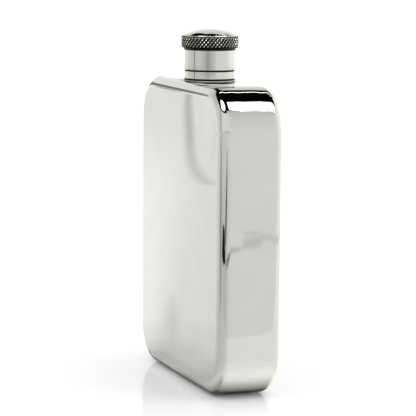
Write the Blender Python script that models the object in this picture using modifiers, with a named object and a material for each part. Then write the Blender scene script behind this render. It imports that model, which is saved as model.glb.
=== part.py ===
"""A pocket hip flask: two pressed half shells, a threaded neck and a knurled screw cap.

The flask stands on its base. The origin is the centre of the base, +X runs across the broad
faces, +Y through the thickness and +Z up the neck. Every size is in metres.
"""

import math

import bmesh
import bpy

MM = 0.001
CLEARANCE = 0.3 * MM  # between any two pieces

# Body
BODY_WIDTH = 90.2 * MM
BODY_DEPTH = 23.7 * MM
BODY_HEIGHT = 108.5 * MM
CORNER_RADIUS = 15.0 * MM  # of the outline of a broad face
EDGE_RADIUS = 4.1 * MM  # between a broad face and the band round it
SHEET = 0.8 * MM
CORNER_SEGMENTS = 10
EDGE_SEGMENTS = 4

# Neck. Heights from here on are above the top of the body.
BORE_RADIUS = 6.0 * MM
NECK_RADIUS = 6.8 * MM
NECK_TOP = 11.7 * MM
FLANGE_RADIUS = 8.8 * MM
FLANGE_THICKNESS = 0.9 * MM
FLANGE_GAP = 0.4 * MM  # under the sheet
COLLAR_RADIUS = 9.05 * MM
COLLAR_TOP = 3.55 * MM

# Thread, right-handed
PITCH = 2.0 * MM
THREAD_DEPTH = 0.6 * MM
CREST_WIDTH = 0.4 * MM
FLANK_SLOPE = 0.5  # axial run for each unit of depth
ROOT_SINK = 0.25 * MM  # how far a ridge is sunk into its wall
FADED_HEIGHT = 0.15 * MM  # of a ridge at its ends, which is less than it is sunk
NECK_THREAD_START = 4.9 * MM
NECK_THREAD_TURNS = 3.0
CAP_THREAD_TURNS = 2.5
FADE_TURNS = 0.25
THREAD_STEPS = 32  # to a turn

# Cap
SKIRT_RADIUS = 9.25 * MM
SKIRT_WALL = 0.55 * MM
SKIRT_BOTTOM = COLLAR_TOP + CLEARANCE
HEAD_RADIUS = 10.4 * MM
HEAD_BOTTOM = 11.75 * MM
HEAD_ROUNDING = 0.8 * MM
HEAD_FILLET = 0.35 * MM  # below the head, on to the skirt
KNURL_TOP = 15.8 * MM
KNURL_RIDGES = 46
KNURL_ROWS = 6
KNURL_DEPTH = 0.35 * MM
ROOF_BOTTOM = 13.6 * MM
ROOF_TOP = 14.3 * MM
INSERT_WALL = 0.7 * MM
INSERT_RECESS = 0.5 * MM  # from the skirt's lower edge
INSERT_TOP = 11.6 * MM
DISC_RADIUS = 8.2 * MM
DISC_THICKNESS = 1.2 * MM
EDGE_BREAK = 0.2 * MM  # the small chamfer on turned edges

# Dome: a shallow crown that closes the head
DOME_TOP = 18.8 * MM
DOME_RADIUS = 9.9 * MM
CROWN_RADIUS = 21.6 * MM  # of the sphere that the dome is cut from
DOME_SHEET = 0.6 * MM
SPIGOT_RADIUS = 9.0 * MM  # of the lip that locates the dome in the rim
CROWN_RINGS = 9

TURNED_STEPS = 48
MERGE_DISTANCE = 0.00001
SHARP_ANGLE = math.radians(35)
HOLE_CUTTER_LENGTH = 6.4 * MM

STEEL = (0.66, 0.66, 0.64)
LINER_WHITE = (0.86, 0.86, 0.82)
INSERT_GREY = (0.78, 0.78, 0.75)


def clear_scene():
    for item in list(bpy.data.objects):
        bpy.data.objects.remove(item)


def new_collection(name):
    group = bpy.data.collections.new(name)
    bpy.context.scene.collection.children.link(group)
    return group


def new_material(name, colour, roughness, metallic):
    mat = bpy.data.materials.new(name)
    mat.use_nodes = True
    shader = mat.node_tree.nodes["Principled BSDF"]
    shader.inputs["Base Color"].default_value = (*colour, 1)
    shader.inputs["Roughness"].default_value = roughness
    shader.inputs["Metallic"].default_value = metallic
    mat.diffuse_color = (*colour, 1)
    return mat


def polished_steel(name):
    return new_material(name + "_steel", STEEL, 0.08, 1)


def moulded(name, colour):
    return new_material(name + "_plastic", colour, 0.45, 0)


def new_object(name, mesh, group, mat=None, height=0.0):
    item = bpy.data.objects.new(name, mesh)
    item.location.z = height
    group.objects.link(item)
    if mat:
        mesh.materials.append(mat)
    return item


def new_empty(name, group, height, parent=None):
    item = new_object(name, None, group, height=height)
    item.empty_display_size = 10 * MM
    item.parent = parent
    return item


def mesh_of(bm, name):
    mesh = bpy.data.meshes.new(name)
    bm.to_mesh(mesh)
    bm.free()
    mesh.shade_smooth()
    mesh.set_sharp_from_angle(angle=SHARP_ANGLE)
    return mesh


def hide_cutter(item):
    item.hide_render = True
    item.display_type = "WIRE"


def add_boolean(item, other, operation):
    modifier = item.modifiers.new(other.name, "BOOLEAN")
    modifier.operation = operation
    modifier.solver = "EXACT"
    modifier.object = other


def turned(name, profile, group, mat, steps=TURNED_STEPS):
    """A solid turned about Z from (radius, height) points that run down its outer side."""
    bm = bmesh.new()
    points = [bm.verts.new((radius, 0, height)) for radius, height in profile]
    for start, end in zip(points, points[1:]):
        bm.edges.new((start, end))
    if profile[0][0] > 0:
        bm.edges.new((points[-1], points[0]))
    item = new_object(name, mesh_of(bm, name), group, mat, BODY_HEIGHT)
    screw = item.modifiers.new("turn", "SCREW")
    screw.steps = steps
    screw.render_steps = steps
    screw.use_merge_vertices = True
    screw.merge_threshold = MERGE_DISTANCE
    screw.use_smooth_shade = True
    return item


def apply_modifiers(item):
    bpy.context.view_layer.update()
    evaluated = item.evaluated_get(bpy.context.evaluated_depsgraph_get())
    mesh = bpy.data.meshes.new_from_object(evaluated)
    item.modifiers.clear()
    item.data = mesh


def thread_ridge(name, root, crest, start, turns, group):
    """A closed helical ridge from root to crest that fades into its wall at both ends."""
    outward = math.copysign(1, crest - root)
    base = root - outward * ROOT_SINK
    sections = []
    bm = bmesh.new()
    for step in range(round(turns * THREAD_STEPS) + 1):
        turn = step / THREAD_STEPS
        fade = min(1, turn / FADE_TURNS, (turns - turn) / FADE_TURNS)
        full = THREAD_DEPTH + ROOT_SINK
        tip = base + outward * (FADED_HEIGHT + (full - FADED_HEIGHT) * fade)
        half_tip = CREST_WIDTH / 2
        half_base = half_tip + abs(tip - base) * FLANK_SLOPE
        middle = start + PITCH * turn
        angle = math.tau * turn
        outline = [
            (base, middle - half_base),
            (tip, middle - half_tip),
            (tip, middle + half_tip),
            (base, middle + half_base),
        ]
        sections.append(
            [bm.verts.new((r * math.cos(angle), r * math.sin(angle), z)) for r, z in outline]
        )
    for first, second in zip(sections, sections[1:]):
        for i in range(4):
            j = (i + 1) % 4
            bm.faces.new((first[i], first[j], second[j], second[i]))
    bm.faces.new(sections[0])
    bm.faces.new(sections[-1])
    bmesh.ops.triangulate(bm, faces=bm.faces)
    bmesh.ops.recalc_face_normals(bm, faces=bm.faces)
    ridge = new_object(name, mesh_of(bm, name), group, height=BODY_HEIGHT)
    hide_cutter(ridge)
    return ridge


def round_edges(bm, edges, radius, segments):
    bmesh.ops.bevel(
        bm,
        geom=edges,
        offset=radius,
        offset_type="OFFSET",
        segments=segments,
        profile=0.5,
        affect="EDGES",
    )
    bm.normal_update()


def make_neck_hole(cutters):
    bm = bmesh.new()
    radius = NECK_RADIUS + CLEARANCE
    bmesh.ops.create_cone(
        bm,
        cap_ends=True,
        segments=TURNED_STEPS,
        radius1=radius,
        radius2=radius,
        depth=HOLE_CUTTER_LENGTH,
    )
    hole = new_object("neck_hole", mesh_of(bm, "neck_hole"), cutters, height=BODY_HEIGHT)
    hide_cutter(hole)
    return hole


def make_half_shell(name, side, hole, parts):
    """One pressed half of the body: an open tray whose mouth is the seam at Y = 0."""
    depth = (BODY_DEPTH - CLEARANCE) / 2
    bm = bmesh.new()
    bmesh.ops.create_cube(bm, size=1)
    bmesh.ops.scale(bm, vec=(BODY_WIDTH, depth, BODY_HEIGHT), verts=bm.verts)
    middle = (0, side * (CLEARANCE + depth) / 2, BODY_HEIGHT / 2)
    bmesh.ops.translate(bm, vec=middle, verts=bm.verts)
    corners = [
        edge for edge in bm.edges if abs(edge.verts[0].co.y - edge.verts[1].co.y) > depth / 2
    ]
    round_edges(bm, corners, CORNER_RADIUS, CORNER_SEGMENTS)
    broad_face = max(bm.faces, key=lambda face: face.normal.y * side)
    round_edges(bm, list(broad_face.edges), EDGE_RADIUS, EDGE_SEGMENTS)
    mouth = min(bm.faces, key=lambda face: face.normal.y * side)
    bmesh.ops.delete(bm, geom=[mouth], context="FACES")
    shell = new_object(name, mesh_of(bm, name), parts, polished_steel(name))
    wall = shell.modifiers.new("wall", "SOLIDIFY")
    wall.thickness = SHEET
    wall.offset = -1
    wall.use_even_offset = True
    add_boolean(shell, hole, "DIFFERENCE")
    return shell


def make_neck_tube(parts, cutters):
    """The spout, welded through the top of the body with a flange under the sheet."""
    flange_top = -SHEET - FLANGE_GAP
    flange_bottom = flange_top - FLANGE_THICKNESS
    profile = [
        (NECK_RADIUS - EDGE_BREAK, NECK_TOP),
        (NECK_RADIUS, NECK_TOP - EDGE_BREAK),
        (NECK_RADIUS, flange_top),
        (FLANGE_RADIUS, flange_top),
        (FLANGE_RADIUS, flange_bottom),
        (BORE_RADIUS, flange_bottom),
        (BORE_RADIUS, NECK_TOP - EDGE_BREAK),
        (BORE_RADIUS + EDGE_BREAK, NECK_TOP),
    ]
    neck = turned("neck_tube", profile, parts, polished_steel("neck_tube"))
    crest = NECK_RADIUS + THREAD_DEPTH
    ridge = thread_ridge(
        "neck_thread", NECK_RADIUS, crest, NECK_THREAD_START, NECK_THREAD_TURNS, cutters
    )
    add_boolean(neck, ridge, "UNION")
    return neck


def make_neck_collar(parts):
    """The plain ring round the foot of the neck, which the cap closes down on to."""
    inner = NECK_RADIUS + CLEARANCE
    profile = [
        (COLLAR_RADIUS - EDGE_BREAK, COLLAR_TOP),
        (COLLAR_RADIUS, COLLAR_TOP - EDGE_BREAK),
        (COLLAR_RADIUS, CLEARANCE),
        (inner, CLEARANCE),
        (inner, COLLAR_TOP),
    ]
    return turned("neck_collar", profile, parts, polished_steel("neck_collar"))


def knurl(item):
    """Sinks every other point of the band into a diamond pattern."""
    row_height = (KNURL_TOP - HEAD_BOTTOM - HEAD_ROUNDING) / KNURL_ROWS
    column_angle = math.pi / KNURL_RIDGES
    for vertex in item.data.vertices:
        row = (KNURL_TOP - vertex.co.z) / row_height
        radius = math.hypot(vertex.co.x, vertex.co.y)
        if radius < HEAD_RADIUS - MERGE_DISTANCE or not 0.5 < row < KNURL_ROWS - 0.5:
            continue
        column = math.atan2(vertex.co.y, vertex.co.x) / column_angle
        if (round(row) + round(column)) % 2:
            vertex.co.xy *= (HEAD_RADIUS - KNURL_DEPTH) / HEAD_RADIUS


def make_cap_shell(parts):
    """The turned body of the cap: plain skirt, knurled head and the rim under the dome."""
    rounded = HEAD_ROUNDING * (1 - math.cos(math.radians(45)))
    inner = SKIRT_RADIUS - SKIRT_WALL
    rim_inner = SPIGOT_RADIUS + CLEARANCE
    rim_top = KNURL_TOP + EDGE_BREAK
    knurl_bottom = HEAD_BOTTOM + HEAD_ROUNDING
    rows = [
        (HEAD_RADIUS, KNURL_TOP + (knurl_bottom - KNURL_TOP) * row / KNURL_ROWS)
        for row in range(KNURL_ROWS + 1)
    ]
    profile = [
        (0, ROOF_TOP),
        (rim_inner, ROOF_TOP),
        (rim_inner, rim_top - EDGE_BREAK),
        (rim_inner + EDGE_BREAK, rim_top),
        (HEAD_RADIUS - EDGE_BREAK, rim_top),
        *rows,
        (HEAD_RADIUS - rounded, HEAD_BOTTOM + rounded),
        (HEAD_RADIUS - HEAD_ROUNDING, HEAD_BOTTOM),
        (SKIRT_RADIUS, HEAD_BOTTOM - HEAD_FILLET),
        (SKIRT_RADIUS, SKIRT_BOTTOM + EDGE_BREAK),
        (SKIRT_RADIUS - EDGE_BREAK, SKIRT_BOTTOM),
        (inner, SKIRT_BOTTOM),
        (inner, ROOF_BOTTOM),
        (0, ROOF_BOTTOM),
    ]
    cap = turned("cap_shell", profile, parts, polished_steel("cap_shell"), 2 * KNURL_RIDGES)
    apply_modifiers(cap)
    knurl(cap)
    return cap


def crown_outline(inset, radius):
    """Points from the apex down to a radius, inset from the outside of the dome."""
    reach = CROWN_RADIUS - inset
    edge_tilt = math.asin(radius / reach)
    for ring in range(CROWN_RINGS + 1):
        tilt = edge_tilt * ring / CROWN_RINGS
        yield reach * math.sin(tilt), DOME_TOP - CROWN_RADIUS + reach * math.cos(tilt)


def make_cap_dome(parts):
    """The domed disc that closes the head, with a lip below it that fits inside the rim."""
    seat = KNURL_TOP + EDGE_BREAK + CLEARANCE
    lip = ROOF_TOP + CLEARANCE
    lip_inner = SPIGOT_RADIUS - DOME_SHEET
    profile = [
        *crown_outline(0, DOME_RADIUS),
        (DOME_RADIUS, seat),
        (SPIGOT_RADIUS, seat),
        (SPIGOT_RADIUS, lip),
        (lip_inner, lip),
        *reversed(list(crown_outline(DOME_SHEET, lip_inner))),
    ]
    return turned("cap_dome", profile, parts, polished_steel("cap_dome"))


def make_thread_insert(parts, cutters):
    """The moulded liner with the female thread, pressed into the skirt."""
    outer = SKIRT_RADIUS - SKIRT_WALL - CLEARANCE
    inner = outer - INSERT_WALL
    bottom = SKIRT_BOTTOM + INSERT_RECESS
    profile = [
        (outer, INSERT_TOP),
        (outer, bottom),
        (inner, bottom),
        (inner, INSERT_TOP),
    ]
    insert = turned(
        "cap_thread_insert", profile, parts, moulded("cap_thread_insert", INSERT_GREY)
    )
    start = NECK_THREAD_START + PITCH / 2
    ridge = thread_ridge(
        "cap_thread", inner, inner - THREAD_DEPTH, start, CAP_THREAD_TURNS, cutters
    )
    add_boolean(insert, ridge, "UNION")
    return insert


def make_sealing_disc(parts):
    """The loose liner between the lip of the neck and the roof of the cap."""
    bottom = NECK_TOP + CLEARANCE
    top = bottom + DISC_THICKNESS
    profile = [
        (0, top),
        (DISC_RADIUS - EDGE_BREAK, top),
        (DISC_RADIUS, top - EDGE_BREAK),
        (DISC_RADIUS, bottom),
        (0, bottom),
    ]
    return turned("sealing_disc", profile, parts, moulded("sealing_disc", LINER_WHITE))


def parent_keeping_place(children, parent):
    for child in children:
        child.parent = parent
        child.matrix_parent_inverse = parent.matrix_world.inverted()


def main():
    clear_scene()
    parts = new_collection("hip_flask")
    cutters = new_collection("cutters")
    hole = make_neck_hole(cutters)
    fixed = [
        make_half_shell("front_shell", -1, hole, parts),
        make_half_shell("rear_shell", 1, hole, parts),
        make_neck_tube(parts, cutters),
        make_neck_collar(parts),
    ]
    disc = make_sealing_disc(parts)
    turning = [
        make_cap_shell(parts),
        make_cap_dome(parts),
        make_thread_insert(parts, cutters),
    ]
    flask = new_empty("flask", parts, 0)
    cap_lift = new_empty("cap_lift", parts, BODY_HEIGHT, flask)
    cap_turn = new_empty("cap_turn", parts, 0, cap_lift)
    bpy.context.view_layer.update()
    parent_keeping_place(fixed, flask)
    parent_keeping_place([disc], cap_lift)
    parent_keeping_place(turning, cap_turn)


main()
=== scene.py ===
"""The hip flask's looks: fine polished surfaces, a threaded spout and a knurled cap in a small studio."""

import math

import bmesh
import bpy
from mathutils import Matrix, Vector


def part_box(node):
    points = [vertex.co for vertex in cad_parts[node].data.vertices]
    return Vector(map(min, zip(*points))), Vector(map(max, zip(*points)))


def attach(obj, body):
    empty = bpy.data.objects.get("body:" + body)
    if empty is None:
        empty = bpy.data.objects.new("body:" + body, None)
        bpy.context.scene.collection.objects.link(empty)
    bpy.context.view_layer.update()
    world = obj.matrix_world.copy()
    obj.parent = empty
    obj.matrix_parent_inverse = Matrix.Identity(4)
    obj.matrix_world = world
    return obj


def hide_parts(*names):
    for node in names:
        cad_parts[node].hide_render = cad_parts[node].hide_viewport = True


MM = 0.001

# Shapes that no box of the frame gives
CORNER_RADIUS = 15.0 * MM
EDGE_RADIUS = 4.1 * MM
SHEET = 0.8 * MM
NECK_RADIUS = 6.8 * MM
BORE_RADIUS = 6.0 * MM
GAP = 0.3 * MM  # the clearance that the CAD leaves between its pieces
THREAD_PITCH = 2.0 * MM
THREAD_DEPTH = 0.6 * MM

# Fineness of the meshes
CORNER_SEGMENTS = 40
EDGE_SEGMENTS = 16
FLAT_STEP = 4.0 * MM
HOLE_STEPS = 6  # to an eighth of the circle
COLUMNS = 192
ARC_STEPS = 6
STRAIGHT_END = 1.06  # where a straight run's own end point lies, against where its fillet begins

# Polished metal, slightly warm
STEEL = (0.653, 0.647, 0.615)
MOTTLE = 0.96  # of the steel's colour, where the mottle is darkest
POLISH_LINES = 0.02  # how strongly the lines of polishing show
PAINTED_SHADE = (0.012, 0.012, 0.011)  # painted shade: a near-black colour laid in grooves, joints and under edges, where shade falls
# the roughness where shade is painted on the steel
PAINTED_SHADE_ROUGHNESS = 0.45

# Camera
CAMERA_AZIMUTH = 70.46
CAMERA_DISTANCE = 0.758
CAMERA_HEIGHT = 0.1588
CAMERA_SIDESTEP = -0.00014
CAMERA_PITCH = 7.27
CAMERA_ROLL = 0.54
CAMERA_LENS = 182.2

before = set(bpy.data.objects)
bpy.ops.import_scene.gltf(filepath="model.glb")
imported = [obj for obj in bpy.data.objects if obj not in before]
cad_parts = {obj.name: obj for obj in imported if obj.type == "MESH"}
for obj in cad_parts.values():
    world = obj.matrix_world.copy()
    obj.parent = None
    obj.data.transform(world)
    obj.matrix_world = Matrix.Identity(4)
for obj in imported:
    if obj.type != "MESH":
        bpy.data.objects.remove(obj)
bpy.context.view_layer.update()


# ---------------------------------------------------------------- materials

def new_material(name, colour, metallic=0.0, roughness=0.5):
    mat = bpy.data.materials.new(name)
    mat.use_nodes = True
    shader = mat.node_tree.nodes["Principled BSDF"]
    shader.inputs["Base Color"].default_value = (*colour, 1)
    shader.inputs["Metallic"].default_value = metallic
    shader.inputs["Roughness"].default_value = roughness
    return mat, mat.node_tree, shader


def add_noise(tree, scale, detail, coords, stretch=(1, 1, 1)):
    mapping = tree.nodes.new("ShaderNodeMapping")
    mapping.inputs["Scale"].default_value = stretch
    tree.links.new(coords, mapping.inputs["Vector"])
    noise = tree.nodes.new("ShaderNodeTexNoise")
    noise.inputs["Scale"].default_value = scale
    noise.inputs["Detail"].default_value = detail
    tree.links.new(mapping.outputs["Vector"], noise.inputs["Vector"])
    return noise.outputs["Fac"]


def add_range(tree, value, low, high, start=0.3, stop=0.7):
    ramp = tree.nodes.new("ShaderNodeMapRange")
    ramp.inputs["From Min"].default_value = start
    ramp.inputs["From Max"].default_value = stop
    ramp.inputs["To Min"].default_value = low
    ramp.inputs["To Max"].default_value = high
    tree.links.new(value, ramp.inputs["Value"])
    return ramp.outputs["Result"]


def place_in(tree, coords):
    """Height, and distance from the axis of the neck, of a point on the surface."""
    parts = tree.nodes.new("ShaderNodeSeparateXYZ")
    tree.links.new(coords, parts.inputs["Vector"])
    flat = tree.nodes.new("ShaderNodeCombineXYZ")
    tree.links.new(parts.outputs["X"], flat.inputs["X"])
    tree.links.new(parts.outputs["Y"], flat.inputs["Y"])
    length = tree.nodes.new("ShaderNodeVectorMath")
    length.operation = "LENGTH"
    tree.links.new(flat.outputs["Vector"], length.inputs[0])
    return parts.outputs["Z"], length.outputs["Value"]


def combine(tree, operation, first, second):
    node = tree.nodes.new("ShaderNodeMath")
    node.operation = operation
    for socket, value in zip(node.inputs, (first, second)):
        if isinstance(value, (int, float)):
            socket.default_value = value
        else:
            tree.links.new(value, socket)
    return node.outputs["Value"]


def polished_metal(name, roughness, smear, painted_shade_mask=None):
    """Mirror-polished steel with a faint mottle in its gloss and the finest of polishing lines.

    The mask function, called with (tree, height, radius), gives where shade is painted on in a near-black
    colour and the steel is made rougher.
    """
    mat, tree, shader = new_material(name, STEEL, 1.0)
    coords = tree.nodes.new("ShaderNodeTexCoord").outputs["Object"]
    mottle = add_noise(tree, 90, 3, coords)
    gloss = add_range(tree, mottle, roughness, roughness + smear)
    lines = add_noise(tree, 900, 2, coords, (1, 1, 0.06))
    bump_node = tree.nodes.new("ShaderNodeBump")
    bump_node.inputs["Strength"].default_value = POLISH_LINES
    bump_node.inputs["Distance"].default_value = 0.01 * MM
    tree.links.new(lines, bump_node.inputs["Height"])
    tree.links.new(bump_node.outputs["Normal"], shader.inputs["Normal"])
    tint = tree.nodes.new("ShaderNodeMix")
    tint.data_type = "RGBA"
    tint.inputs["A"].default_value = (*STEEL, 1)
    tint.inputs["B"].default_value = (*(c * MOTTLE for c in STEEL), 1)
    tree.links.new(add_range(tree, mottle, 0, 1), tint.inputs["Factor"])
    base = tint.outputs["Result"]
    # painted shade: the mask mixes a near-black colour into the steel and raises its roughness
    if painted_shade_mask:
        height, radius = place_in(tree, coords)
        mask = painted_shade_mask(tree, height, radius)
        shade_mix = tree.nodes.new("ShaderNodeMix")
        shade_mix.data_type = "RGBA"
        shade_mix.inputs["B"].default_value = (*PAINTED_SHADE, 1)
        tree.links.new(base, shade_mix.inputs["A"])
        tree.links.new(mask, shade_mix.inputs["Factor"])
        base = shade_mix.outputs["Result"]
        gloss = combine(tree, "MAXIMUM", gloss, combine(tree, "MULTIPLY", mask, PAINTED_SHADE_ROUGHNESS))
    tree.links.new(base, shader.inputs["Base Color"])
    tree.links.new(gloss, shader.inputs["Roughness"])
    return mat


def soft_plastic(name, colour, roughness, grain):
    """Moulded plastic or rubber with a fine grain."""
    mat, tree, shader = new_material(name, colour, 0.0)
    coords = tree.nodes.new("ShaderNodeTexCoord").outputs["Object"]
    cloud = add_noise(tree, 300, 3, coords)
    tree.links.new(add_range(tree, cloud, roughness, roughness + 0.12), shader.inputs["Roughness"])
    bump_node = tree.nodes.new("ShaderNodeBump")
    bump_node.inputs["Strength"].default_value = grain
    bump_node.inputs["Distance"].default_value = 0.02 * MM
    tree.links.new(add_noise(tree, 4000, 2, coords), bump_node.inputs["Height"])
    tree.links.new(bump_node.outputs["Normal"], shader.inputs["Normal"])
    tint = tree.nodes.new("ShaderNodeMix")
    tint.data_type = "RGBA"
    tint.inputs["A"].default_value = (*colour, 1)
    tint.inputs["B"].default_value = (*(c * 0.88 for c in colour), 1)
    tree.links.new(add_range(tree, cloud, 0, 1), tint.inputs["Factor"])
    tree.links.new(tint.outputs["Result"], shader.inputs["Base Color"])
    return mat


def glow(name, colour, strength=1.0):
    """A plain lit surface for the studio's cards."""
    mat = bpy.data.materials.new(name)
    mat.use_nodes = True
    tree = mat.node_tree
    tree.nodes.clear()
    light = tree.nodes.new("ShaderNodeEmission")
    light.inputs["Color"].default_value = (*colour, 1)
    light.inputs["Strength"].default_value = strength
    out = tree.nodes.new("ShaderNodeOutputMaterial")
    tree.links.new(light.outputs["Emission"], out.inputs["Surface"])
    return mat


# ---------------------------------------------------------------- mesh helpers

def link(name, mesh, mat=None):
    item = bpy.data.objects.new(name, mesh)
    bpy.context.scene.collection.objects.link(item)
    if mat:
        mesh.materials.append(mat)
    return item


def smooth_mesh(bm, name, sharp_degrees=30):
    mesh = bpy.data.meshes.new(name)
    bm.to_mesh(mesh)
    bm.free()
    mesh.shade_smooth()
    mesh.set_sharp_from_angle(angle=math.radians(sharp_degrees))
    return mesh


def filleted(corners):
    """Profile points (radius, height) from corners (radius, height, fillet radius).

    Each straight run also gets a point close to each of its ends, so that smooth shading
    keeps it straight up to the fillet.
    """
    points = []
    count = len(corners)
    for i, (r, z, fillet) in enumerate(corners):
        here = Vector((r, z))
        if not fillet or i in (0, count - 1):
            points.append(here)
            continue
        before = (Vector(corners[i - 1][:2]) - here).normalized()
        after = (Vector(corners[i + 1][:2]) - here).normalized()
        half = before.angle(after) / 2
        run = fillet / math.tan(half)
        centre = here + (before + after).normalized() * (fillet / math.sin(half))
        start = here + before * run - centre
        stop = here + after * run - centre
        turn = start.angle_signed(stop)
        points.append(here + before * run * STRAIGHT_END)
        for step in range(ARC_STEPS + 1):
            angle = turn * step / ARC_STEPS
            rotated = Matrix.Rotation(-angle, 2) @ start
            points.append(centre + rotated)
        points.append(here + after * run * STRAIGHT_END)
    return [(max(p.x, 0.0), p.y) for p in points]


def lathe(profile, columns=COLUMNS, closed=False, push=None, creased=None):
    """A turned bmesh from (radius, height) points that run down the outer side.

    push(angle, index, radius, height) gives the radius at each point, and
    creased(column, row) says which way to split a face that a crease runs across.
    """
    bm = bmesh.new()
    rings = []
    for index, (radius, height) in enumerate(profile):
        if radius <= 0:
            rings.append([bm.verts.new((0, 0, height))] * columns)
            continue
        ring = []
        for column in range(columns):
            angle = math.tau * column / columns
            r = push(angle, index, radius, height) if push else radius
            ring.append(bm.verts.new((r * math.cos(angle), r * math.sin(angle), height)))
        rings.append(ring)
    pairs = list(zip(rings, rings[1:]))
    if closed:
        pairs.append((rings[-1], rings[0]))
    for row, (upper, lower) in enumerate(pairs):
        for i in range(columns):
            j = (i + 1) % columns
            if upper[0] is upper[1]:
                bm.faces.new((upper[i], lower[i], lower[j]))
            elif lower[0] is lower[1]:
                bm.faces.new((upper[i], lower[i], upper[j]))
            elif creased and creased(i, row):
                bm.faces.new((upper[i], lower[i], upper[j]))
                bm.faces.new((upper[j], lower[i], lower[j]))
            elif creased:
                bm.faces.new((upper[i], lower[i], lower[j]))
                bm.faces.new((upper[i], lower[j], upper[j]))
            else:
                bm.faces.new((upper[i], lower[i], lower[j], upper[j]))
    return bm


# ---------------------------------------------------------------- the body

front_low, front_high = (Vector(corner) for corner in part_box("front_shell"))
HALF_WIDTH = front_high.x
HALF_DEPTH = -front_low.y
HEIGHT = front_high.z
MIDDLE = Vector((0, 0, HEIGHT / 2))


def slab_point(p):
    """The exact point and normal of the rounded body nearest to a point of the rough one."""
    flat_x = HALF_WIDTH - CORNER_RADIUS
    flat_z = HEIGHT / 2 - CORNER_RADIUS
    q = p - MIDDLE
    core = Vector((max(-flat_x, min(flat_x, q.x)), 0, max(-flat_z, min(flat_z, q.z))))
    out = Vector((q.x - core.x, 0, q.z - core.z))
    reach = out.length
    outward = out / reach if reach > 1e-9 else Vector((0, 0, 0))
    side = math.copysign(1, q.y)
    beyond_rim = reach - (CORNER_RADIUS - EDGE_RADIUS)
    beyond_flat = abs(q.y) - (HALF_DEPTH - EDGE_RADIUS)
    if beyond_rim <= 0:
        return Vector((p.x, side * HALF_DEPTH, p.z)), Vector((0, side, 0))
    if beyond_flat <= 0:
        exact = MIDDLE + core + outward * CORNER_RADIUS
        exact.y = p.y
        return exact, outward
    length = math.hypot(beyond_rim, beyond_flat)
    normal = outward * (beyond_rim / length) + Vector((0, side * beyond_flat / length, 0))
    centre = MIDDLE + core + outward * (CORNER_RADIUS - EDGE_RADIUS)
    centre.y = side * (HALF_DEPTH - EDGE_RADIUS)
    return centre + normal * EDGE_RADIUS, normal


FACE_CROWN = 0.3 * MM  # how much lower a broad face lies at its outline than at its middle
CROWN_ALONG = 0.6  # of the crown along the height, against that across the width
FACE_WAVE = 0.010 * MM
BAND_WAVE = 0.008 * MM
CORNER_PEEL = 0.006 * MM  # the fine unevenness of the upper corner towards +X


def between(value, low, high):
    """How far a value is from low to high, from 0 to 1."""
    return max(0.0, min(1.0, (value - low) / (high - low)))


def ripple(p):
    """How far the polished sheet lies off its true surface, with no step at the seam.

    Its waves are sines of the place in millimetres.
    """
    x, y, z = p / MM
    face = between(abs(y), 3, 11)
    face *= face * (3 - 2 * face)
    across = (x * MM / HALF_WIDTH) ** 2
    along = ((p.z - HEIGHT / 2) / (HEIGHT / 2)) ** 2
    crown = -FACE_CROWN * face * (across + CROWN_ALONG * along) / (1 + CROWN_ALONG)
    wave = math.sin(0.071 * x + 0.6) * math.sin(0.052 * z + 0.9)
    wave += 0.5 * math.sin(0.13 * x - 0.09 * z + 1.7)
    band = 0.35 * math.sin(0.11 * z + 0.4) + 0.25 * math.sin(0.19 * z + 0.33 * x)
    peel = math.sin(1.1 * x + 0.7 * math.cos(0.4 * y)) * math.cos(0.85 * y + 0.3 * x)
    peel += 0.6 * math.sin(1.9 * y * y / 12 + z)
    corner = between(x, 33, 39) * between(z, 96, 101)
    waves = FACE_WAVE * face * wave + BAND_WAVE * (1 - face) * band
    return crown + waves + CORNER_PEEL * corner * peel


def rippled(p, normal):
    """The rippled point and its normal."""
    step = 0.05 * MM
    slope = Vector(
        (ripple(p + Vector(axis) * step) - ripple(p - Vector(axis) * step)) / (2 * step)
        for axis in ((1, 0, 0), (0, 1, 0), (0, 0, 1))
    )
    slope -= normal * slope.dot(normal)
    return p + normal * ripple(p), (normal - slope).normalized()


def bevel(bm, edges, radius, segments):
    bmesh.ops.bevel(
        bm,
        geom=edges,
        offset=radius,
        offset_type="OFFSET",
        segments=segments,
        profile=0.5,
        affect="EDGES",
    )
    bm.normal_update()


def slice_mesh(bm, place, normal):
    geom = [*bm.verts, *bm.edges, *bm.faces]
    bmesh.ops.bisect_plane(bm, geom=geom, dist=1e-7, plane_co=place, plane_no=normal)


def evenly(low, high, step):
    count = max(1, round((high - low) / step))
    return [low + (high - low) * i / count for i in range(1, count)]


def rough_half(side):
    """One half of the body as an open tray with the right topology, before it is made exact."""
    bm = bmesh.new()
    bmesh.ops.create_cube(bm, size=1)
    bmesh.ops.scale(bm, vec=(2 * HALF_WIDTH, HALF_DEPTH, HEIGHT), verts=bm.verts)
    bmesh.ops.translate(bm, vec=(0, side * HALF_DEPTH / 2, HEIGHT / 2), verts=bm.verts)
    corners = [e for e in bm.edges if abs(e.verts[0].co.y - e.verts[1].co.y) > HALF_DEPTH / 2]
    bevel(bm, corners, CORNER_RADIUS, CORNER_SEGMENTS)
    broad = max(bm.faces, key=lambda face: face.normal.y * side)
    bevel(bm, list(broad.edges), EDGE_RADIUS, EDGE_SEGMENTS)
    mouth = min(bm.faces, key=lambda face: face.normal.y * side)
    bmesh.ops.delete(bm, geom=[mouth], context="FACES")
    return bm


def cut_neck_hole(bm, radius):
    """Opens the top of the tray round the neck: a square of faces whose rim is drawn into a circle."""
    top = HEIGHT - EDGE_RADIUS / 2
    inside = [
        face
        for face in bm.faces
        if (c := face.calc_center_median()).z > top and abs(c.x) < radius and abs(c.y) < radius
    ]
    bmesh.ops.delete(bm, geom=inside, context="FACES")
    for vertex in bm.verts:
        x, y, z = vertex.co
        on_square = abs(max(abs(x), abs(y)) - radius) < 1e-6
        if z > top and on_square and min(abs(x), abs(y)) < radius + 1e-6:
            shrink = radius / math.hypot(x, y)
            vertex.co.x *= shrink
            vertex.co.y *= shrink


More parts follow.
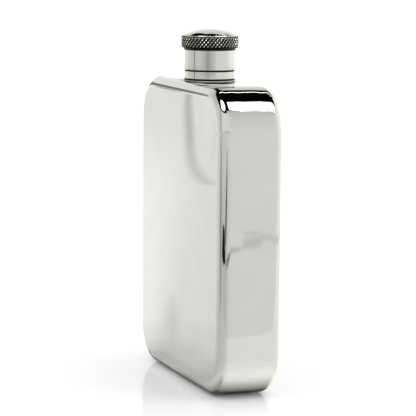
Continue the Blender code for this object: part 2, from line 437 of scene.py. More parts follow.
def in_order(bm, exact):
    """The same skin with its vertices and faces in the order of their places.

    Blender's bevel and bisect leave them in an order that varies from run to run.
    """
    skin = bmesh.new()
    skin_exact = skin.verts.layers.float_vector.new("exact_normal")
    twins = {}
    for vertex in sorted(bm.verts, key=lambda vertex: tuple(vertex.co)):
        twin = skin.verts.new(vertex.co)
        twin[skin_exact] = vertex[exact]
        twins[vertex] = twin
    skin.verts.index_update()
    outlines = [[twins[vertex] for vertex in face.verts] for face in bm.faces]
    for outline in sorted(outlines, key=lambda outline: [vertex.index for vertex in outline]):
        skin.faces.new(outline)
    bm.free()
    return skin, skin_exact


def thicken(bm, exact, thickness):
    """Gives the skin an inside, and walls round its openings."""
    skin_faces = list(bm.faces)
    rim = [edge for edge in bm.edges if edge.is_boundary]
    inner = {}
    for vertex in list(bm.verts):
        twin = bm.verts.new(vertex.co - vertex[exact] * thickness)
        twin[exact] = Vector((0, 0, 0))
        inner[vertex] = twin
    for face in skin_faces:
        bm.faces.new([inner[v] for v in reversed(face.verts)])
    for edge in rim:
        loop = edge.link_loops[0]
        start, stop = loop.vert, loop.link_loop_next.vert
        bm.faces.new((stop, start, inner[start], inner[stop]))
    return len(skin_faces)


def make_half(name, side, mat, stands_for):
    bm = rough_half(side)
    hole = NECK_RADIUS + GAP
    flat_x = HALF_WIDTH - CORNER_RADIUS
    flat_z = CORNER_RADIUS
    for x in evenly(-flat_x, flat_x, FLAT_STEP):
        if abs(x) > hole + 0.5 * MM:
            slice_mesh(bm, (x, 0, 0), (1, 0, 0))
    for z in evenly(flat_z, HEIGHT - flat_z, FLAT_STEP):
        slice_mesh(bm, (0, 0, z), (0, 0, 1))
    for step in range(-HOLE_STEPS, HOLE_STEPS + 1):
        place = hole * math.tan(math.radians(45 * step / HOLE_STEPS))
        slice_mesh(bm, (place, 0, 0), (1, 0, 0))
        if step > 0:
            slice_mesh(bm, (0, side * place, 0), (0, 1, 0))
    rim = CORNER_RADIUS - EDGE_RADIUS
    for inset in evenly(0, rim, FLAT_STEP):
        for x in (-flat_x - inset, flat_x + inset):
            slice_mesh(bm, (x, 0, 0), (1, 0, 0))
        for z in (flat_z - inset, HEIGHT - flat_z + inset):
            slice_mesh(bm, (0, 0, z), (0, 0, 1))
    exact = bm.verts.layers.float_vector.new("exact_normal")
    for vertex in bm.verts:
        place, normal = slab_point(vertex.co)
        vertex.co, vertex[exact] = rippled(place, normal)
    cut_neck_hole(bm, hole)
    bm, exact = in_order(bm, exact)
    outer_count = thicken(bm, exact, SHEET)
    normals = []
    for index, face in enumerate(bm.faces):
        for loop in face.loops:
            normals.append(tuple(loop.vert[exact]) if index < outer_count else (0, 0, 0))
    mesh = smooth_mesh(bm, name)
    mesh.normals_split_custom_set(normals)
    piece = link(name, mesh, mat)
    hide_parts(stands_for)
    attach(piece, "flask")
    return piece


# ---------------------------------------------------------------- neck and cap

def finish_piece(bm, name, mat, body, stands_for, sharp=30):
    piece = link(name, smooth_mesh(bm, name, sharp), mat)
    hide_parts(stands_for)
    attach(piece, body)
    return piece


COLLAR_ROUNDING = 0.25 * MM
COLLAR_FLARE = 0.15 * MM  # of the collar's foot, outwards and upwards
FLARE_FILLET = 0.08 * MM
COLLAR_GAP = 0.05 * MM  # round the neck


def make_collar(mat):
    low, high = (Vector(corner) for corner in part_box("neck_collar"))
    inner = NECK_RADIUS + COLLAR_GAP
    outer = high.x
    profile = filleted(
        [
            (inner, high.z, 0),
            (outer, high.z, COLLAR_ROUNDING),
            (outer, low.z + COLLAR_FLARE, FLARE_FILLET),
            (outer + COLLAR_FLARE, low.z - GAP, 0),
            (inner, low.z - GAP, 0),
        ]
    )
    bm = lathe(profile, closed=True)
    return finish_piece(bm, "neck_ring", mat, "flask", "neck_collar")


THREAD_START = 4.0 * MM  # above the body
THREAD_PHASE = 4.9 * MM  # the height above the body at which a ridge passes +X
THREAD_END = 0.5 * MM  # below the lip
THREAD_ROWS = 96
THREAD_FOOT = 0.5 * MM  # half of the width of a ridge at its foot
THREAD_FLANK = 0.3 * MM  # the height over which a ridge rises
THREAD_FADE = 0.4  # turns
FLANGE_SHEET = 0.9 * MM
LIP_ROUNDING = 0.2 * MM


def thread_push(start, stop, depth, phase):
    """A radius function that raises a helical ridge between two heights and fades at its ends."""

    def push(angle, index, radius, height):
        if not start < height < stop or abs(radius - NECK_RADIUS) > 0.01 * MM:
            return radius
        place = (height - phase) / THREAD_PITCH - angle / math.tau
        away = abs((place + 0.5) % 1 - 0.5) * THREAD_PITCH
        rise = between(away, THREAD_FOOT, THREAD_FOOT - THREAD_FLANK)
        turns_from_end = min(height - start, stop - height) / THREAD_PITCH
        return radius + depth * rise * min(1.0, turns_from_end / THREAD_FADE)

    return push


def make_spout(mat):
    low, high = (Vector(corner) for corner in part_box("neck_tube"))
    top = high.z
    start = HEIGHT + THREAD_START
    stop = top - THREAD_END
    rows = [stop - (stop - start) * i / THREAD_ROWS for i in range(THREAD_ROWS + 1)]
    profile = [
        (BORE_RADIUS + 0.1 * MM, top),
        (NECK_RADIUS - 0.25 * MM, top),
        (NECK_RADIUS - 0.1 * MM, top - 0.04 * MM),
        (NECK_RADIUS, top - LIP_ROUNDING),
        *((NECK_RADIUS, z) for z in rows),
        (NECK_RADIUS, low.z + FLANGE_SHEET),
        (high.x, low.z + FLANGE_SHEET),
        (high.x, low.z),
        (BORE_RADIUS, low.z),
        (BORE_RADIUS, top - LIP_ROUNDING),
        (BORE_RADIUS + 0.03 * MM, top - 0.06 * MM),
    ]
    push = thread_push(start, stop, THREAD_DEPTH, HEIGHT + THREAD_PHASE)
    bm = lathe(profile, closed=True, push=push)
    return finish_piece(bm, "spout", mat, "flask", "neck_tube", 50)


KNURL_RIDGES = 46
KNURL_CELLS = 8  # columns and rows of the mesh to a ridge
KNURL_PERIOD = 1.62 * MM  # along the axis
KNURL_DEPTH = 0.5 * MM
KNURL_CROSS_DEPTH = 0.55  # of the second family of grooves, against the first
HEAD_ROUNDING = 0.8 * MM
HEAD_FILLET = 0.315 * MM  # below the head, on to the skirt
EDGE_BREAK = 0.2 * MM
SKIRT_RADIUS = 9.25 * MM
SKIRT_WALL = 0.55 * MM
SKIRT_ROUNDING = 0.22 * MM  # of its lower edge
SKIRT_ROUNDING_INSIDE = 0.05 * MM
HEAD_BOTTOM = 11.75 * MM  # above the body
ROOF_SHEET = 0.7 * MM
RIM_DROP = 0.15 * MM  # from the top of the CAD's rim to the rim's own
SPIGOT_RADIUS = 9.0 * MM  # of the lip that locates the dome in the rim


def knurl_drop(angle, depth_below_top):
    """How deep two crossing families of V grooves cut, at a place on the band."""
    around = KNURL_RIDGES * angle / math.tau
    along = depth_below_top / KNURL_PERIOD
    leaning = abs(2 * ((around + along) % 1) - 1)
    crossing = abs(2 * ((around - along) % 1) - 1)
    rise = min(leaning, 1 - KNURL_CROSS_DEPTH * (1 - crossing))
    return KNURL_DEPTH * (1 - rise)


def make_cap(mat):
    low, high = (Vector(corner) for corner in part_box("cap_shell"))
    dome_low = Vector(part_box("cap_dome")[0])
    head = high.x
    head_bottom = HEIGHT + HEAD_BOTTOM
    rim = high.z - RIM_DROP
    knurl_top = rim - EDGE_BREAK
    straight_end = head_bottom + HEAD_ROUNDING
    inner = SKIRT_RADIUS - SKIRT_WALL
    roof_top = dome_low.z - GAP
    rim_inner = SPIGOT_RADIUS + GAP
    row = KNURL_PERIOD / KNURL_CELLS
    rows = []
    band = knurl_top - straight_end + HEAD_ROUNDING * math.pi / 2
    for step in range(int(band / row) + 1):
        run = step * row
        if knurl_top - run > straight_end:
            rows.append((head, knurl_top - run))
            continue
        bend = (run - (knurl_top - straight_end)) / HEAD_ROUNDING
        reach = head - HEAD_ROUNDING + HEAD_ROUNDING * math.cos(bend)
        rows.append((reach, straight_end - HEAD_ROUNDING * math.sin(bend)))
    top = [
        (0, roof_top),
        (rim_inner, roof_top),
        (rim_inner, rim - EDGE_BREAK / 2),
        (rim_inner + EDGE_BREAK / 2, rim),
        (head - EDGE_BREAK, rim),
    ]
    below = filleted(
        [
            (head - HEAD_ROUNDING, head_bottom, 0),
            (SKIRT_RADIUS, head_bottom, HEAD_FILLET),
            (SKIRT_RADIUS, low.z, SKIRT_ROUNDING),
            (inner, low.z, SKIRT_ROUNDING_INSIDE),
            (inner, roof_top - ROOF_SHEET, 0),
            (0, roof_top - ROOF_SHEET, 0),
        ]
    )
    first_row = len(top)
    last_row = first_row + len(rows) - 1

    def push(angle, index, radius, height):
        if not first_row <= index <= last_row:
            return radius
        line = index - first_row
        fade = min(1.0, line / 2, (last_row - index) / 3)
        return radius - knurl_drop(angle, line * row) * fade

    def creased(column, line):
        return (column + line - first_row) % KNURL_CELLS == KNURL_CELLS // 2 - 1

    bm = lathe([*top, *rows, *below], KNURL_RIDGES * KNURL_CELLS, push=push, creased=creased)
    return finish_piece(bm, "cap_body", mat, "cap", "cap_shell", 24)


CROWN_DROP = 0.2 * MM  # from the top of the CAD's dome to the crown's
CROWN_RADIUS = 22.5 * MM  # of the sphere that the dome is cut from
CROWN_TILT = math.radians(25.6)  # of the surface where the rolled edge begins
ROLL_RADIUS = 0.45 * MM
ROLL_TILT = math.radians(88)  # of the surface where the rolled edge ends
ROLL_TUCK = 0.02 * MM  # from there down to the seat of the dome
DOME_SHEET = 0.6 * MM
CROWN_RINGS = 40
ROLL_RINGS = 16


def arc_outline(centre, radius, start, stop, rings):
    """Points round an arc, from one tilt of its surface to another."""
    points = []
    for ring in range(rings + 1):
        tilt = start + (stop - start) * ring / rings
        points.append((centre[0] + radius * math.sin(tilt), centre[1] + radius * math.cos(tilt)))
    return points


def make_dome(mat):
    """The dome with its edge rolled over, and the lip that locates it in the rim."""
    low, high = (Vector(corner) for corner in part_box("cap_dome"))
    centre = (0, high.z - CROWN_DROP - CROWN_RADIUS)
    outside = arc_outline(centre, CROWN_RADIUS, 0, CROWN_TILT, CROWN_RINGS)
    shift = CROWN_RADIUS - ROLL_RADIUS
    roll = (shift * math.sin(CROWN_TILT), centre[1] + shift * math.cos(CROWN_TILT))
    rolled = arc_outline(roll, ROLL_RADIUS, CROWN_TILT, ROLL_TILT, ROLL_RINGS)
    seat = rolled[-1][1] - ROLL_TUCK
    lip_inner = SPIGOT_RADIUS - DOME_SHEET
    inner_tilt = math.asin(lip_inner / (CROWN_RADIUS - DOME_SHEET))
    inside = arc_outline(centre, CROWN_RADIUS - DOME_SHEET, 0, inner_tilt, CROWN_RINGS)
    lip = [(SPIGOT_RADIUS, seat), (SPIGOT_RADIUS, low.z), (lip_inner, low.z)]
    bm = lathe([*outside, *rolled[1:], *lip, *reversed(inside)])
    return finish_piece(bm, "cap_crown", mat, "cap", "cap_dome", 40)


# ---------------------------------------------------------------- studio

ONLY_IN_REFLECTIONS = ("camera", "diffuse", "transmission", "volume_scatter", "shadow")


def hide_from(item, *rays):
    for ray in rays:
        setattr(item, f"visible_{ray}", False)


def card(name, corners, colour, strength, reflections_only):
    """A flat lit card, which the camera doesn't see and which may light nothing but the metal."""
    bm = bmesh.new()
    bm.faces.new([bm.verts.new(corner) for corner in corners])
    mesh = bpy.data.meshes.new(name)
    bm.to_mesh(mesh)
    bm.free()
    item = link(name, mesh, glow(name, colour, strength))
    hide_from(item, *(ONLY_IN_REFLECTIONS if reflections_only else ("camera",)))
    return item


CEILING = 1.4
CEILING_REACH = (0.88, 1.30)  # along X and along Y, in ceiling heights
CEILING_SIDES = 96
DARK = (0.002, 0.002, 0.002)


def overhead(name, outline, height, colour, strength=1.0, reflections_only=True):
    """A level card over the flask, from its outline in ceiling heights."""
    corners = [(x * CEILING, y * CEILING, height) for x, y in outline]
    return card(name, corners, colour, strength, reflections_only)


def rectangle(x, y):
    return [(x[0], y[0]), (x[1], y[0]), (x[1], y[1]), (x[0], y[1])]


def make_ceiling():
    """The dark upper room, which reaches further along Y than along X."""
    turns = [math.tau * i / CEILING_SIDES for i in range(CEILING_SIDES)]
    outline = [(CEILING_REACH[0] * math.cos(t), CEILING_REACH[1] * math.sin(t)) for t in turns]
    overhead("ceiling", outline, CEILING, DARK)


def shaded_mesh(name, corners, faces, levels):
    """A mesh with a glow level at each vertex, seen only in reflections."""
    mesh = bpy.data.meshes.new(name)
    mesh.from_pydata(corners, [], faces)
    shade = mesh.color_attributes.new("shade", "FLOAT_COLOR", "POINT")
    for i, level in enumerate(levels):
        shade.data[i].color = (level, level, level * 0.99, 1)
    mat = glow(name, (1, 1, 1))
    tree = mat.node_tree
    level = tree.nodes.new("ShaderNodeVertexColor")
    level.layer_name = "shade"
    emission = next(node for node in tree.nodes if node.type == "EMISSION")
    tree.links.new(level.outputs["Color"], emission.inputs["Color"])
    item = link(name, mesh, mat)
    hide_from(item, *ONLY_IN_REFLECTIONS)
    return item


def grid_faces(columns, rows):
    return [
        (i * rows + j, (i + 1) * rows + j, (i + 1) * rows + j + 1, i * rows + j + 1)
        for i in range(columns - 1)
        for j in range(rows - 1)
    ]


def along_curve(points, x):
    """A smooth value at x between (x, value) points in rising order."""
    if x <= points[0][0]:
        return points[0][1]
    for (start, low), (stop, high) in zip(points, points[1:]):
        if x < stop:
            t = (x - start) / (stop - start)
            return low + (high - low) * t * t * (3 - 2 * t)
    return points[-1][1]


ROOM_RADIUS = 1.9
ROOM_FOOT = 1 * MM  # just over the floor
ROOM_TOP = 2.2
ROOM_STEPS = 120
OPEN_WALL = 0.98  # the brightness over the dark things at the foot of the wall
BACK_DIMMING = 0.32  # of the upper wall towards -X
ROOM_BLEND = 1.6  # the height over which the floor's brightness fades out
LOW_THINGS = 0.12  # how high the dark things at the foot of the wall stand, towards -Y
# (azimuth in degrees from +X, brightness) of the room beyond the table
ROOM = [
    (-180, 1.25),
    (-165, 1.20),
    (-144, 1.04),
    (-120, 0.90),
    (-100, 0.80),
    (-84, 0.78),
    (-69, 0.84),
    (-55, 0.78),
    (-41, 0.66),
    (-28, 0.47),
    (-14, 0.64),
    (0, 0.77),
    (27, 0.84),
    (42, 0.96),
    (59, 1.00),
    (77, 1.21),
    (100, 1.31),
    (179, 1.25),
]
# (azimuth, brightness) of the floor that the metal reflects, beyond the flask's shadow
FLOOR = [
    (-180, 1.30),
    (-166, 1.27),
    (-162.5, 1.22),
    (-161, 1.17),
    (-159.4, 1.09),
    (-157.5, 1.02),
    (-136, 1.02),
    (-119, 0.93),
    (-106, 0.86),
    (-71, 0.80),
    (-45, 0.84),
    (-12, 0.90),
    (20, 0.97),
    (50, 1.00),
    (100, 1.15),
    (180, 1.30),
]


def blend(first, second, part):
    """From the first value, where part is 0, to the second, where it is 1."""
    return first * (1 - part) + second * part


def azimuth_of(place):
    return math.degrees(math.atan2(place.y, place.x))


def at_azimuth(azimuth, distance, height=0.0):
    angle = math.radians(azimuth)
    return Vector((distance * math.cos(angle), distance * math.sin(angle), height))


def room_level(azimuth, height):
    """The wall's brightness.

    Towards +X it fades up from the floor's, towards -Y it is dark only at its foot, and
    towards -X it dims with height.
    """
    level = along_curve(ROOM, azimuth)
    if 5 < azimuth < 60:
        rise = between(height, 0, ROOM_BLEND)
        return blend(along_curve(FLOOR, azimuth), level, rise)
    if -80 < azimuth < 5:
        return blend(level, OPEN_WALL, between(height, LOW_THINGS / 4, LOW_THINGS))
    if abs(azimuth) > 120:
        return level * (1 - BACK_DIMMING * between(height, 0.1, 1.2))
    return level


def make_room():
    """The curved wall that the polished metal sees all round."""
    heights = (ROOM_FOOT, LOW_THINGS / 4, LOW_THINGS, ROOM_BLEND / 2, ROOM_BLEND, ROOM_TOP)
    corners = []
    levels = []
    for i in range(ROOM_STEPS):
        azimuth = -180 + 360 * i / (ROOM_STEPS - 1)
        for height in heights:
            corners.append(at_azimuth(azimuth, ROOM_RADIUS, height))
            levels.append(room_level(azimuth, height))
    shaded_mesh("room", corners, grid_faces(ROOM_STEPS, len(heights)), levels)


def spread_lines(reach, first_step, growth):
    """Grid lines on both sides of zero, close together near it."""
    lines = [0.0]
    step = first_step
    while lines[-1] < reach:
        lines.append(lines[-1] + step)
        step *= growth
    return [-line for line in reversed(lines[1:])] + lines


FLOOR_GLOW_HEIGHT = -0.4 * MM  # just under the floor that the camera sees
RIBBON_HEIGHT = -0.2 * MM
FINE_STEP = 1.5 * MM  # of the grid under the flask
STEP_GROWTH = 1.05
FAR_GLOW = 1.06  # of the far floor towards -X
FAR_SHADE = 0.88  # of the far floor towards -Y, against the foot of the wall
SHEET_GLOW = 1.12  # of the white sheet, against the table
SHADE_AHEAD = 0.17  # on the floor in front of the broad face
LIT_AZIMUTH = math.radians(20)  # of the side of the flask that is lit best
SHEET_EDGE = 161 * MM  # where a white sheet under the flask ends, on its +X side
# (distance beyond the flask's outline in metres, brightness against the open floor)
LIT_SIDE = [
    (-10.2 * MM, 0.05),
    (-8.6 * MM, 0.20),
    (-7.2 * MM, 0.42),
    (-5.5 * MM, 0.60),
    (-3.6 * MM, 0.76),
    (-1 * MM, 0.95),
    (2 * MM, 1.24),
    (8 * MM, 1.18),
    (20 * MM, 1.07),
    (60 * MM, 1.00),
]
SHADOW_SIDE = [
    (-8 * MM, 0.03),
    (-3 * MM, 0.10),
    (0, 0.20),
    (3 * MM, 0.38),
    (8 * MM, 0.62),
    (15 * MM, 0.76),
    (40 * MM, 0.90),
    (90 * MM, 0.98),
    (160 * MM, 1.00),
]


def open_floor(place):
    """The floor's brightness where the flask's own shadow doesn't reach."""
    azimuth = azimuth_of(place)
    distance = place.length
    level = along_curve(FLOOR, azimuth)
    if azimuth < -140:
        level = blend(level, FAR_GLOW, between(distance, 0.6, 1.1))
    elif azimuth < 60:
        far = between(distance, 1.6, 1.78) * between(azimuth, 14, 2)
        level = blend(level, FAR_SHADE * along_curve(ROOM, azimuth), far)
    if 0 < place.x < SHEET_EDGE:
        level *= SHEET_GLOW
    ahead = between(azimuth, -100, -85) * between(azimuth, -6, -20)
    return level * (1 - SHADE_AHEAD * ahead * between(distance, 0.75, 0.40))


def floor_glow(place):
    """The floor's brightness with the shadow and the light that the flask casts on it."""
    beyond_x = abs(place.x) - HALF_WIDTH
    beyond_y = abs(place.y) - HALF_DEPTH
    if beyond_x < 0 and beyond_y < 0:
        lit = between(place.x, 33 * MM, 40 * MM)
        lit_gap = beyond_x
        shadow_gap = max(beyond_x, beyond_y)
    else:
        out_x = math.copysign(max(0, beyond_x), place.x)
        out_y = math.copysign(max(0, beyond_y), place.y)
        lit_gap = shadow_gap = math.hypot(out_x, out_y)
        away = between(lit_gap, 2 * MM, 9 * MM)
        close_lit = math.cos(math.atan2(out_y, out_x) - LIT_AZIMUTH)
        far_lit = math.cos(math.atan2(place.y, place.x) - LIT_AZIMUTH)
        lit = 0.5 + 0.5 * blend(close_lit, far_lit, away)
    shadow = along_curve(SHADOW_SIDE, shadow_gap)
    return open_floor(place) * blend(shadow, along_curve(LIT_SIDE, lit_gap), lit)


def make_floor_glow():
    """The floor as the metal reflects it. It lies just under the floor that the camera sees."""
    lines = spread_lines(ROOM_RADIUS, FINE_STEP, STEP_GROWTH)
    columns = sorted([*lines, SHEET_EDGE - 1 * MM, SHEET_EDGE + 1 * MM])
    corners = [Vector((x, y, FLOOR_GLOW_HEIGHT)) for x in columns for y in lines]
    levels = [floor_glow(corner) for corner in corners]
    shaded_mesh("floor_glow", corners, grid_faces(len(columns), len(lines)), levels)


def standing(name, azimuth, distance, width, bottom, top, levels):
    """An upright card that faces the flask. Its glow goes from the edge to the middle level."""
    edge, middle = levels
    centre = at_azimuth(azimuth, distance)
    across = at_azimuth(azimuth + 90, width / 2)
    corners = []
    shades = []
    for part, level in ((-1, edge), (-0.4, middle), (0.4, middle), (1, edge)):
        for z in (bottom, top):
            corners.append(centre + across * part + Vector((0, 0, z)))
            shades.append(level)
    return shaded_mesh(name, corners, grid_faces(4, 2), shades)


def ribbon(name, points, core=0.0):
    """A soft-edged dark strip on the floor along a line, as the metal reflects it.

    Each point has its x and y, the strip's width there, all in millimetres, and how much
    darker than the floor it is. core is the part of the width that is fully dark.
    """
    line = [Vector((x * MM, y * MM, RIBBON_HEIGHT)) for x, y, width, depth in points]
    profile = [(-1, 0), (-(1 + core) / 2, 0.5), (-core, 1), (core, 1), ((1 + core) / 2, 0.5), (1, 0)]
    corners = []
    levels = []
    for i, here in enumerate(line):
        x, y, width, depth = points[i]
        ahead = line[min(i + 1, len(line) - 1)] - line[max(i - 1, 0)]
        across = Vector((-ahead.y, ahead.x, 0)).normalized() * width * MM / 2
        for part, weight in profile:
            corner = here + across * part
            corners.append(corner)
            levels.append(floor_glow(corner) * (1 - depth * weight))
    return shaded_mesh(name, corners, grid_faces(len(line), len(profile)), levels)


def polar(*places):
    """(x, y, width, depth) floor points in millimetres from (azimuth, distance, width, depth)."""
    return [(*at_azimuth(place[0], place[1]).xy, *place[2:]) for place in places]


def make_things_on_the_floor():
    """What lies about in the studio, which the flask's polished sides reflect."""
    cable = polar(
        (-91, 1100, 260, 0.45),
        (-86, 890, 300, 0.62),
        (-82, 580, 240, 0.66),
        (-78, 400, 170, 0.55),
        (-70, 230, 100, 0.35),
        (-66, 180, 50, 0),
    )
    ribbon("floor_cable", cable, 0.2)
    lens_cap = polar(
        (-47, 345, 20, 0.95), (-47, 350, 230, 0.98), (-46, 480, 230, 0.98), (-45, 490, 20, 0.9)
    )
    ribbon("lens_cap", lens_cap, 0.75)
    tripod_foot = polar(
        (-26, 1000, 260, 0.15),
        (-27, 880, 240, 0.45),
        (-28, 640, 180, 0.90),
        (-29, 560, 150, 0.92),
        (-31, 480, 150, 0.85),
        (-32, 430, 120, 0.7),
        (-32, 400, 100, 0),
    )
    ribbon("tripod_foot", tripod_foot, 0.3)
    near_curl = [
        (300, -165, 60, 0.3),
        (330, -130, 55, 0.55),
        (355, -80, 52, 0.80),
        (375, -20, 48, 0.85),
        (382, 26, 42, 0.75),
        (384, 76, 36, 0.5),
        (389, 96, 28, 0.32),
        (391, 110, 26, 0.22),
        (392, 124, 24, 0),
    ]
    ribbon("paper_near", near_curl)
    far_curl = [
        (391, 112), (394, 126), (401, 134), (408, 139), (416, 147), (417, 159), (411, 178), (252, 360),
        (-68, 434),
    ]
    ribbon("paper_far", [(x, y, 34, 0.22) for x, y in far_curl])
    fold = [(437, 138, 16, 0), (441, 146, 24, 0.18), (440, 152, 24, 0.18), (430, 160, 20, 0)]
    ribbon("paper_fold", fold)
    left_streak = [
        (-1970, -706, 22, 0.50),
        (-1299, -467, 20, 0.42),
        (-1174, -424, 20, 0.42),
        (-1013, -370, 20, 0.42),
        (-877, -324, 19, 0.38),
        (-761, -285, 18, 0.33),
        (-673, -258, 19, 0.28),
        (-617, -243, 21, 0.25),
        (-582, -237, 23, 0.22),
        (-575, -243, 20, 0),
    ]
    ribbon("left_streak", left_streak)
    faint_arc = [
        (-1057, -423, 5, 0.12), (-914, -369, 5, 0.14), (-793, -321, 5, 0.12), (-722, -292, 5, 0)
    ]
    ribbon("faint_arc", faint_arc)
    left_spot = [(-175, -68, 9, 0), (-157, -62, 9, 0.09), (-78, -36, 8, 0.10), (-48, -28, 7, 0)]
    ribbon("left_spot", left_spot)


FLOOR_RADIUS = 12
FLOOR_SIDES = 128


def make_floor():
    """The pale floor that the camera sees, and the metal doesn't."""
    bm = bmesh.new()
    bmesh.ops.create_circle(bm, cap_ends=True, segments=FLOOR_SIDES, radius=FLOOR_RADIUS)
    mesh = bpy.data.meshes.new("floor")
    bm.to_mesh(mesh)
    bm.free()
    mat, tree, shader = new_material("white_floor", (0.78, 0.78, 0.78), 0.0, 0.12)
    shader.inputs["Specular IOR Level"].default_value = 0.15
    shader.inputs["Emission Color"].default_value = (1, 1, 1, 1)
    shader.inputs["Emission Strength"].default_value = 0.06
    item = link("floor", mesh, mat)
    item.visible_glossy = False


WORLD_GLOW = 1.12


def make_world():
    world = bpy.data.worlds.new("studio")
    bpy.context.scene.world = world
    world.use_nodes = True
    background = world.node_tree.nodes["Background"]
    background.inputs["Color"].default_value = (1, 1, 1, 1)
    background.inputs["Strength"].default_value = WORLD_GLOW


WHITE = (1, 1, 0.99)
SOFTBOX_GLOW = 3.4
SOFTBOX_SHEEN = 5  # of the right one, in reflections
SLIT_GLOW = 4
HANG = 0.02  # from the ceiling to the cards under it
# the outlines of the softboxes to the right and the left of the camera, in ceiling heights
RIGHT_SOFTBOX = [
    (0.165, 0.13),
    (0.165, 1.0),
    (0.70, 1.0),
    (0.70, 0.36),
    (0.50, 0.15),
]
LEFT_SOFTBOX = [
    (-0.12, -0.50),
    (0.03, -0.30),
    (0.31, -0.31),
    (0.46, -0.43),
    (0.55, -0.62),
    (0.48, -0.78),
    (0.36, -0.93),
    (0.15, -0.98),
]


def make_studio():
    make_world()
    make_floor()
    make_ceiling()
    make_room()
    make_floor_glow()
    under = CEILING - HANG
    overhead("softbox_right", RIGHT_SOFTBOX, under, WHITE, SOFTBOX_GLOW, False)
    overhead("softbox_right_glow", RIGHT_SOFTBOX, under - HANG / 2, WHITE, SOFTBOX_SHEEN)
    overhead("dark_beam_left", rectangle((-1.5, -0.55), (-0.2, 0.22)), under, DARK)
    overhead("dark_beam_right", rectangle((-1.35, -0.6), (0.66, 1.2)), under, DARK)
    overhead("ceiling_slit", rectangle((-0.515, -0.475), (-0.15, 0.9)), under, WHITE, SLIT_GLOW)
    overhead("window_wall", rectangle((0.70, 1.10), (-0.30, 1.6)), under, (0.80, 0.80, 0.79))
    overhead("softbox_left", LEFT_SOFTBOX, under, WHITE, SOFTBOX_GLOW, False)
    standing("light_stand", -93, 1.2, width=0.075, bottom=0.0005, top=1.5, levels=(0.5, 0.05))
    standing("far_edge", -166, 1.8, width=0.75, bottom=0.14, top=0.40, levels=(0.9, 0.25))
    standing("far_foot", -161.3, 1.85, width=0.06, bottom=0.0005, top=0.10, levels=(1.0, 0.35))
    make_things_on_the_floor()


# ---------------------------------------------------------------- camera

def make_camera():
    azimuth = math.radians(CAMERA_AZIMUTH)
    pitch = math.radians(CAMERA_PITCH)
    roll = math.radians(CAMERA_ROLL)
    back = Vector((math.sin(azimuth), -math.cos(azimuth), 0))
    right = Vector((math.cos(azimuth), math.sin(azimuth), 0))
    forward = -back * math.cos(pitch) + Vector((0, 0, -math.sin(pitch)))
    up = right.cross(forward)
    camera_x = right * math.cos(roll) + up * math.sin(roll)
    camera_y = up * math.cos(roll) - right * math.sin(roll)
    place = back * CAMERA_DISTANCE + right * CAMERA_SIDESTEP + Vector((0, 0, CAMERA_HEIGHT))
    data = bpy.data.cameras.new("camera")
    data.lens = CAMERA_LENS
    data.sensor_width = 36
    camera = bpy.data.objects.new("camera", data)
    bpy.context.scene.collection.objects.link(camera)
    turned = Matrix((camera_x, camera_y, -forward)).transposed().to_4x4()
    camera.matrix_world = Matrix.Translation(place) @ turned
    bpy.context.scene.camera = camera


def dress_cad_node(node, mat):
    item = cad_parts[node]
    item.data.materials.clear()
    item.data.materials.append(mat)


# where the masks of painted shade fade, in millimetres from what each comment names
TOP_SHADE_FADE = (10, 18)  # the axis of the neck
FLAT_TOP_FADE = (-0.6, -0.2)  # the top of the body
JOINT_FADES = ((-0.22, -0.14), (0.6, 0.7))  # the top of the collar
FOOT_FADES = ((0.12, 0.18), (0.86, 0.94))  # the top of the body
GROOVE_FADE = (-0.23, -0.13)  # the outside of the knurl
FILLET_FADE = (-0.85, -0.7)  # the underside of the head
RIM_FADE = (-0.34, -0.28)  # the rim
LIP_FADE = (0.16, 0.24)  # the lower end of the skirt
TOP_SHADE_STRENGTH = 0.6  # how strongly shade is painted on the flat top


def fade_in(tree, value, base, fade):
    return add_range(tree, value, 0, 1, base + fade[0] * MM, base + fade[1] * MM)


def fade_out(tree, value, base, fade, full=1):
    return add_range(tree, value, full, 0, base + fade[0] * MM, base + fade[1] * MM)


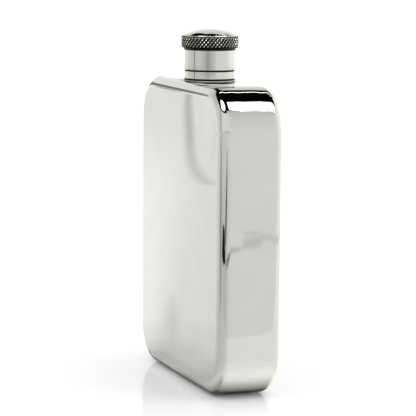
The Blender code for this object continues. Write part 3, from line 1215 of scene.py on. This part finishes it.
def height_band(tree, height, base, fades):
    """A mask between two heights."""
    rising = fade_in(tree, height, base, fades[0])
    return combine(tree, "MULTIPLY", rising, fade_out(tree, height, base, fades[1]))


def body_painted_shade(tree, height, radius):
    """Painted shade on the flat top, close round the foot of the neck."""
    near = fade_out(tree, radius, 0, TOP_SHADE_FADE, TOP_SHADE_STRENGTH)
    on_top = fade_in(tree, height, HEIGHT, FLAT_TOP_FADE)
    return combine(tree, "MULTIPLY", near, on_top)


def neck_painted_shade(tree, height, radius):
    """Painted shade in the joint above the collar, and round its foot."""
    joint = height_band(tree, height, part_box("neck_collar")[1][2], JOINT_FADES)
    foot = height_band(tree, height, HEIGHT, FOOT_FADES)
    return combine(tree, "MAXIMUM", joint, foot)


def cap_painted_shade(tree, height, radius):
    """Painted shade in the grooves of the knurl, under its top edge, and on the lower lip of the skirt.
    """
    low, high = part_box("cap_shell")
    groove = fade_out(tree, radius, high[0], GROOVE_FADE)
    over_fillet = fade_in(tree, height, HEIGHT + HEAD_BOTTOM, FILLET_FADE)
    edge = fade_in(tree, height, high[2] - RIM_DROP, RIM_FADE)
    band = combine(tree, "MAXIMUM", combine(tree, "MULTIPLY", groove, over_fillet), edge)
    return combine(tree, "MAXIMUM", band, fade_out(tree, height, low[2], LIP_FADE))


def main():
    make_camera()
    body = polished_metal("polished_body", roughness=0.02, smear=0.02, painted_shade_mask=body_painted_shade)
    neck = polished_metal("polished_neck", roughness=0.03, smear=0.03, painted_shade_mask=neck_painted_shade)
    cap = polished_metal("polished_cap", roughness=0.03, smear=0.03, painted_shade_mask=cap_painted_shade)
    crown = polished_metal("polished_crown", roughness=0.03, smear=0.03)
    make_half("front_body", -1, body, "front_shell")
    make_half("rear_body", 1, body, "rear_shell")
    make_collar(neck)
    make_spout(neck)
    make_cap(cap)
    make_dome(crown)
    dress_cad_node("cap_thread_insert", soft_plastic("insert_plastic", (0.55, 0.55, 0.52), 0.4, 0.3))
    dress_cad_node("sealing_disc", soft_plastic("seal_rubber", (0.72, 0.72, 0.68), 0.5, 0.5))
    make_studio()
    scene = bpy.context.scene
    scene.view_settings.view_transform = "Standard"
    scene.view_settings.look = "None"
    scene.view_settings.exposure = 0
    scene.view_settings.gamma = 1


main()
